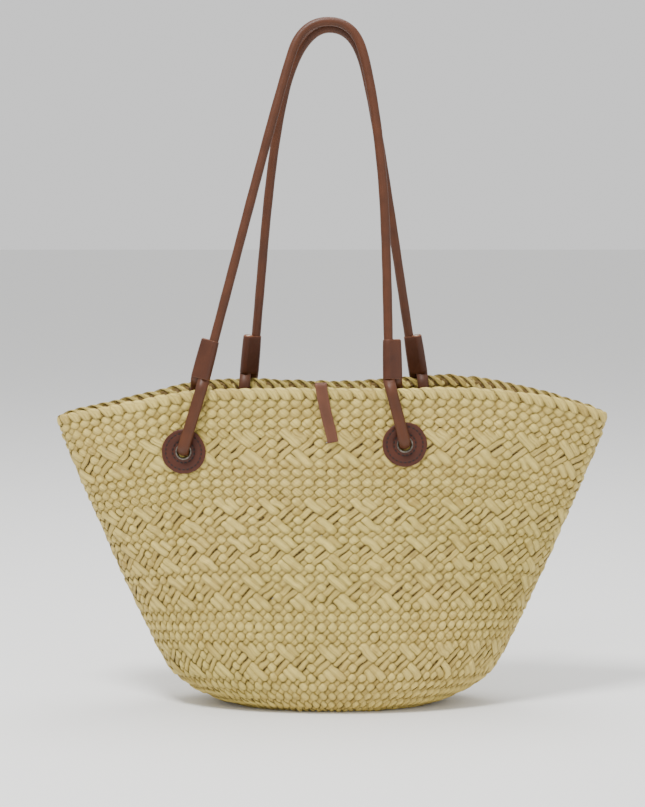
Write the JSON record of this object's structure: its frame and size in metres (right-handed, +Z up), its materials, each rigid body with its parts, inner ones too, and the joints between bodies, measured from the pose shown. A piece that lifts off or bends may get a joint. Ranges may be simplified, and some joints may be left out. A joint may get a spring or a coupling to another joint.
{
  "type": "beach bag",
  "caption": "Flared plaited straw tote with a lens-shaped mouth, rolled leather arch handles looped through eyelets in round leather patches, and a flat leather closure tie.",
  "frame": {"origin": "under the middle of the base, on the surface that the bag stands on", "axes": "+X along the bag's width to the viewer's right seen from the front, -Y the front with the closure tie, +Z up"},
  "size_m": [0.505, 0.1202, 0.6253],
  "materials": {
    "straw": "matte",
    "patch_leather": "satin",
    "handle_leather": "satin",
    "sleeve_leather": "satin",
    "tie_leather": "matte",
    "eyelet_metal": "satin",
    "thread": "matte",
    "rope_core": "matte"
  },
  "bodies": {
    "basket": {"basket_shell": "straw", "rim_braid": "straw", "front_left_outer_patch": "patch_leather", "front_left_inner_patch": "patch_leather", "front_left_eyelet": "eyelet_metal", "front_left_eyelet_washer": "eyelet_metal", "front_left_stitching": "thread", "front_left_loop_cover": "handle_leather", "front_left_loop_core": "rope_core", "front_right_outer_patch": "patch_leather", "front_right_inner_patch": "patch_leather", "front_right_eyelet": "eyelet_metal", "front_right_eyelet_washer": "eyelet_metal", "front_right_stitching": "thread", "front_right_loop_cover": "handle_leather", "front_right_loop_core": "rope_core", "back_left_outer_patch": "patch_leather", "back_left_inner_patch": "patch_leather", "back_left_eyelet": "eyelet_metal", "back_left_eyelet_washer": "eyelet_metal", "back_left_stitching": "thread", "back_left_loop_cover": "handle_leather", "back_left_loop_core": "rope_core", "back_right_outer_patch": "patch_leather", "back_right_inner_patch": "patch_leather", "back_right_eyelet": "eyelet_metal", "back_right_eyelet_washer": "eyelet_metal", "back_right_stitching": "thread", "back_right_loop_cover": "handle_leather", "back_right_loop_core": "rope_core", "tie_anchor": "tie_leather", "tie_stitches": "thread"},
    "front_handle": {"front_left_sleeve": "sleeve_leather", "front_right_sleeve": "sleeve_leather", "front_handle_cover": "handle_leather", "front_handle_core": "rope_core"},
    "back_handle": {"back_left_sleeve": "sleeve_leather", "back_right_sleeve": "sleeve_leather", "back_handle_cover": "handle_leather", "back_handle_core": "rope_core"},
    "tie_tail": {"tie_tail": "tie_leather"}
  },
  "joints": [
    {"name": "front_handle_hinge", "type": "hinge", "parent": "basket", "child": "front_handle", "pos_m": [0, -0.0452, 0.298], "axis": [1, 0, 0], "range_deg": [0, 150], "deforming": ["front_left_loop_cover", "front_left_loop_core", "front_right_loop_cover", "front_right_loop_core"]},
    {"name": "back_handle_hinge", "type": "hinge", "parent": "basket", "child": "back_handle", "pos_m": [0, 0.0462, 0.298], "axis": [-1, 0, 0], "range_deg": [0, 150], "deforming": ["back_left_loop_cover", "back_left_loop_core", "back_right_loop_cover", "back_right_loop_core"]},
    {"name": "tie_hinge", "type": "hinge", "parent": "basket", "child": "tie_tail", "pos_m": [-0.006, -0.0444, 0.2982], "axis": [-1, 0, 0], "range_deg": [0, 180]}
  ]
}
